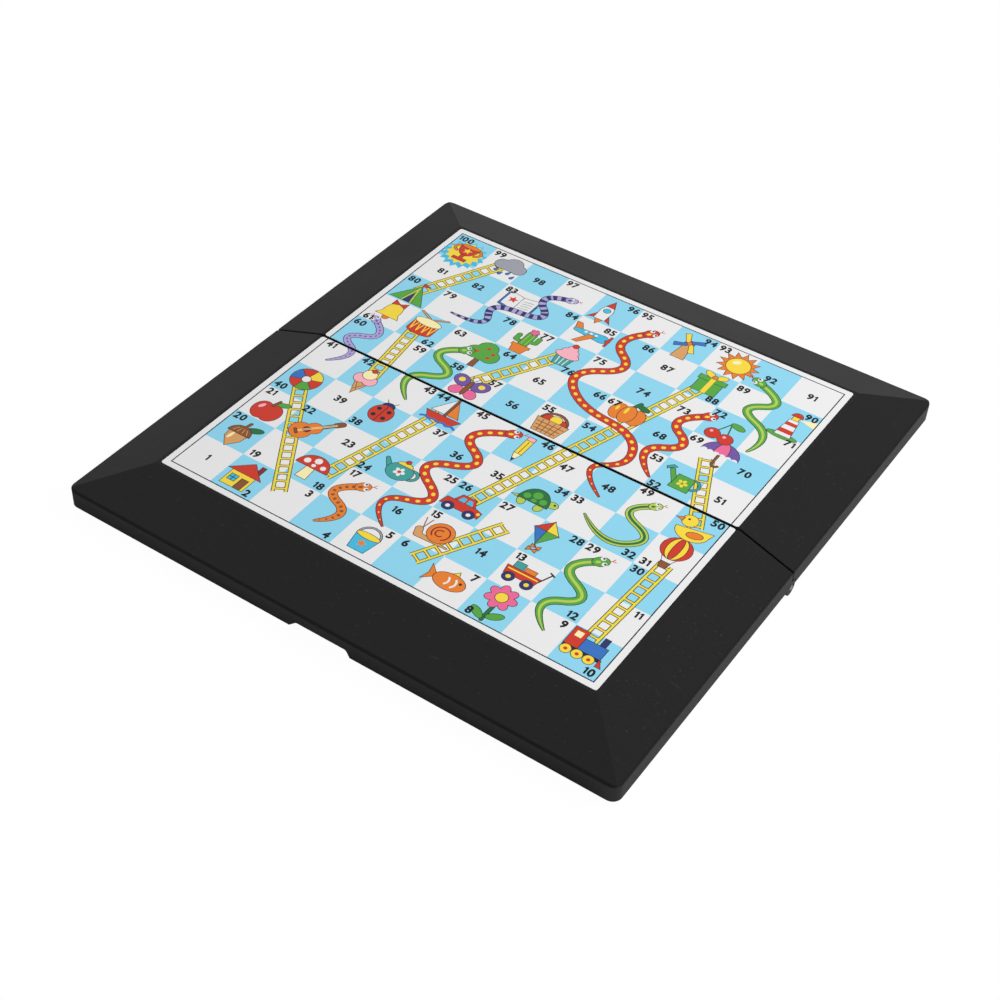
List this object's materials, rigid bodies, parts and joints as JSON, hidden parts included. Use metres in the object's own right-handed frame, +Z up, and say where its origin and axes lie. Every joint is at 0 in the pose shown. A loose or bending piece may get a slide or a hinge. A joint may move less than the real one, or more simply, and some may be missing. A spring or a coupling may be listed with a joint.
{
  "type": "folding board game box",
  "caption": "Flat moulded box whose hinged halves open into one magnetic board for snakes and ladders and fold shut into storage.",
  "frame": {"origin": "below the middle of the open board, level with the underside of the hinge barrels", "axes": "+X along the hinge, +Y from the front half to the back half, +Z up out of the play faces"},
  "size_m": [0.2506, 0.2546, 0.0201],
  "materials": {
    "black_plastic": "moulded, fine matt grain",
    "steel_plate": "thin tinned sheet, hidden under the print",
    "printed_sheet": "printed film with a satin laminate",
    "hinge_pin": "drawn wire, broken ends",
    "magnet": "bright nickel plate"
  },
  "bodies": {
    "front_half": {"front_tray": "black_plastic", "front_steel_plate": "steel_plate", "front_play_sheet": "printed_sheet", "front_left_magnet": "magnet", "front_right_magnet": "magnet", "left_hinge_pin": "hinge_pin", "right_hinge_pin": "hinge_pin"},
    "back_half": {"back_tray": "black_plastic", "back_steel_plate": "steel_plate", "back_play_sheet": "printed_sheet", "back_left_magnet": "magnet", "back_right_magnet": "magnet"}
  },
  "joints": [
    {"name": "fold", "type": "hinge", "parent": "front_half", "child": "back_half", "pos_m": [0, 0, 0.0034], "axis": [-1, 0, 0], "range_deg": [0, 180]}
  ]
}
